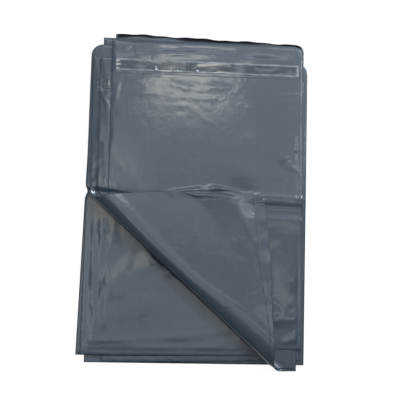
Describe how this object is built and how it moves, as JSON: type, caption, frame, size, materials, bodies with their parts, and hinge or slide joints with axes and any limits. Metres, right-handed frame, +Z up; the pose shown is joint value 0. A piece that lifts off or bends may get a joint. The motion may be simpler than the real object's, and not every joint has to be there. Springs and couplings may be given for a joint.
{
  "type": "mailing bag pack",
  "caption": "Loose stack of flat self-seal polythene mailing bags with peel-off liners, and one near corner of the top bags folded over in a soft roll.",
  "frame": {"origin": "centre of the bottom bag's outline, on the underside that the pack rests on", "axes": "+Z up through the pack, +Y along the bags to their lips, +X across the bags to the right as seen from above with the lips away from the viewer"},
  "size_m": [0.2928, 0.4325, 0.0245],
  "materials": {
    "film": "semi-gloss blown film",
    "adhesive": "tacky hot-melt band",
    "liner": "glossy release film"
  },
  "bodies": {
    "bag_01": {"bag_01_back_film": "film", "bag_01_front_film": "film", "bag_01_adhesive": "adhesive", "bag_01_liner": "liner"},
    "bag_02": {"bag_02_back_film": "film", "bag_02_front_film": "film", "bag_02_adhesive": "adhesive", "bag_02_liner": "liner"},
    "bag_03": {"bag_03_back_film": "film", "bag_03_front_film": "film", "bag_03_adhesive": "adhesive", "bag_03_liner": "liner"},
    "bag_04": {"bag_04_back_film": "film", "bag_04_front_film": "film", "bag_04_adhesive": "adhesive", "bag_04_liner": "liner"},
    "bag_05": {"bag_05_back_film": "film", "bag_05_front_film": "film", "bag_05_adhesive": "adhesive", "bag_05_liner": "liner"},
    "bag_06": {"bag_06_back_film": "film", "bag_06_front_film": "film", "bag_06_adhesive": "adhesive", "bag_06_liner": "liner"},
    "bag_07": {"bag_07_back_film": "film", "bag_07_front_film": "film", "bag_07_adhesive": "adhesive", "bag_07_liner": "liner"},
    "bag_08": {"bag_08_back_film": "film", "bag_08_front_film": "film", "bag_08_adhesive": "adhesive", "bag_08_liner": "liner"},
    "folded_sheaf": {"bag_09_back_film": "film", "bag_09_front_film": "film", "bag_09_roll": "film", "bag_09_adhesive": "adhesive", "bag_09_liner": "liner", "bag_10_back_film": "film", "bag_10_front_film": "film", "bag_10_roll": "film", "bag_10_adhesive": "adhesive", "bag_10_liner": "liner", "bag_11_back_film": "film", "bag_11_front_film": "film", "bag_11_roll": "film", "bag_11_adhesive": "adhesive", "bag_11_liner": "liner", "bag_12_back_film": "film", "bag_12_front_film": "film", "bag_12_roll": "film"},
    "folded_corner": {"bag_09_corner": "film", "bag_10_corner": "film", "bag_11_corner": "film", "bag_12_corner": "film"},
    "top_lip": {"bag_12_lip": "film", "bag_12_adhesive": "adhesive"},
    "top_liner": {"bag_12_liner": "liner"}
  },
  "joints": [
    {"name": "lift_bag_02", "type": "slide", "parent": "bag_01", "child": "bag_02", "axis": [0, 0, 1], "range_m": [0, 0.03]},
    {"name": "lift_bag_03", "type": "slide", "parent": "bag_02", "child": "bag_03", "axis": [0, 0, 1], "range_m": [0, 0.03]},
    {"name": "lift_bag_04", "type": "slide", "parent": "bag_03", "child": "bag_04", "axis": [0, 0, 1], "range_m": [0, 0.03]},
    {"name": "lift_bag_05", "type": "slide", "parent": "bag_04", "child": "bag_05", "axis": [0, 0, 1], "range_m": [0, 0.03]},
    {"name": "lift_bag_06", "type": "slide", "parent": "bag_05", "child": "bag_06", "axis": [0, 0, 1], "range_m": [0, 0.03]},
    {"name": "lift_bag_07", "type": "slide", "parent": "bag_06", "child": "bag_07", "axis": [0, 0, 1], "range_m": [0, 0.03]},
    {"name": "lift_bag_08", "type": "slide", "parent": "bag_07", "child": "bag_08", "axis": [0, 0, 1], "range_m": [0, 0.03]},
    {"name": "lift_folded_sheaf", "type": "slide", "parent": "bag_08", "child": "folded_sheaf", "axis": [0, 0, 1], "range_m": [0, 0.03]},
    {"name": "unfold_corner", "type": "hinge", "parent": "folded_sheaf", "child": "folded_corner", "pos_m": [0, -0.0908, 0.01502], "axis": [0.7408, -0.6717, 0], "range_deg": [0, 178], "deforming": ["bag_09_roll", "bag_10_roll", "bag_11_roll", "bag_12_roll"]},
    {"name": "fold_lip", "type": "hinge", "parent": "folded_sheaf", "child": "top_lip", "pos_m": [0.0215, 0.1712, 0.0097], "axis": [1, 0, 0], "range_deg": [0, 178]},
    {"name": "peel_liner", "type": "slide", "parent": "top_lip", "child": "top_liner", "axis": [1, 0, 0], "range_m": [0, 0.24]}
  ]
}
